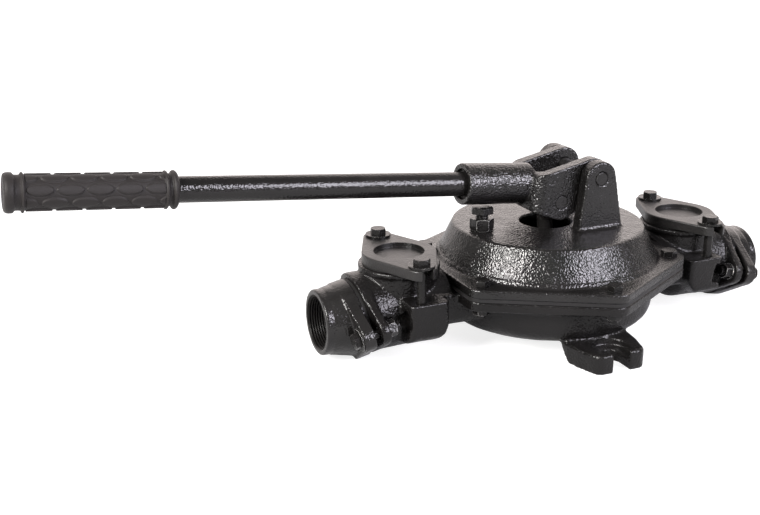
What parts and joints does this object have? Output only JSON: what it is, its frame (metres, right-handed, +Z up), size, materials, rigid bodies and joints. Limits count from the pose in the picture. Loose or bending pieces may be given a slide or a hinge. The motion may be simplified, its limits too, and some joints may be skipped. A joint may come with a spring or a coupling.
{
  "type": "manual bilge pump",
  "caption": "Hand-lever diaphragm bilge pump with round cover on a six-cornered flange, side valve chests with inspection covers, threaded ports and slotted feet.",
  "frame": {"origin": "on the vertical axis of the pump body, on the plane under its two feet", "axes": "+X from the inlet port to the outlet port, with the handle over the inlet; +Z up; the feet lie along Y"},
  "size_m": [0.7024, 0.259, 0.1951],
  "materials": {
    "body_enamel": "gloss black enamel over sand casting",
    "cover_enamel": "gloss black enamel over fine sand casting",
    "adaptor_enamel": "gloss black enamel",
    "satin_enamel": "satin black enamel",
    "lever_enamel": "gloss black enamel over sand casting",
    "tube_enamel": "semi-gloss black coating on steel tube",
    "link_enamel": "black enamel",
    "pin_enamel": "black enamel over steel pin",
    "fastener_enamel": "black enamel over steel, worn at the corners",
    "plated_steel": "zinc plated",
    "grip_rubber": "matte moulded rubber",
    "rubber": "matte black nitrile"
  },
  "bodies": {
    "housing": {"pump_body": "body_enamel", "top_cover": "cover_enamel", "cover_bolts": "fastener_enamel", "cover_nuts": "fastener_enamel", "diaphragm_membrane": "rubber", "fulcrum_pin": "pin_enamel", "stop_bolt": "fastener_enamel", "stop_locknut": "fastener_enamel", "inlet_inspection_cover": "satin_enamel", "inlet_inspection_gasket": "rubber", "inlet_inspection_bolts": "fastener_enamel", "inlet_inspection_washers": "fastener_enamel", "outlet_inspection_cover": "satin_enamel", "outlet_inspection_gasket": "rubber", "outlet_inspection_bolts": "fastener_enamel", "outlet_inspection_washers": "fastener_enamel", "inlet_port_adaptor": "adaptor_enamel", "inlet_valve_gasket": "rubber", "inlet_port_bolts": "fastener_enamel", "inlet_port_nuts": "fastener_enamel", "inlet_port_washers": "fastener_enamel", "outlet_port_adaptor": "adaptor_enamel", "outlet_valve_gasket": "rubber", "outlet_port_bolts": "fastener_enamel", "outlet_port_nuts": "fastener_enamel", "outlet_port_washers": "fastener_enamel"},
    "lever": {"lever_yoke": "lever_enamel", "handle_tube": "tube_enamel", "handle_grip": "grip_rubber", "lever_link_pin": "pin_enamel"},
    "link": {"connecting_link": "link_enamel", "diaphragm_link_pin": "plated_steel"},
    "diaphragm_plates": {"diaphragm_upper_plate": "plated_steel", "diaphragm_lower_plate": "plated_steel", "diaphragm_centre_bolt": "plated_steel"},
    "inlet_valve": {"inlet_flap": "rubber", "inlet_flap_weight": "plated_steel", "inlet_flap_rivet": "plated_steel"},
    "outlet_valve": {"outlet_flap": "rubber", "outlet_flap_weight": "plated_steel", "outlet_flap_rivet": "plated_steel"}
  },
  "joints": [
    {"name": "handle_lift", "type": "hinge", "parent": "housing", "child": "lever", "pos_m": [0.028, 0, 0.1454], "axis": [0, 1, 0], "range_deg": [0, 48], "deforming": ["diaphragm_membrane"]},
    {"name": "link_pivot", "type": "hinge", "parent": "lever", "child": "link", "pos_m": [-0.004, 0, 0.1238], "axis": [0, 1, 0], "range_deg": [-54.5, 0]},
    {"name": "plate_pivot", "type": "hinge", "parent": "link", "child": "diaphragm_plates", "pos_m": [0, 0, 0.059], "axis": [0, 1, 0], "range_deg": [0, 6.5]},
    {"name": "inlet_flap_hinge", "type": "hinge", "parent": "housing", "child": "inlet_valve", "pos_m": [-0.19608, 0, 0.05861], "axis": [0, -1, 0], "range_deg": [0, 20]},
    {"name": "outlet_flap_hinge", "type": "hinge", "parent": "housing", "child": "outlet_valve", "pos_m": [0.19662, 0, 0.05849], "axis": [0, -1, 0], "range_deg": [0, 20]}
  ],
  "couplings": [
    {"joint": "link_pivot", "follows": "handle_lift", "ratio": -1.13},
    {"joint": "plate_pivot", "follows": "handle_lift", "ratio": 0.13}
  ]
}
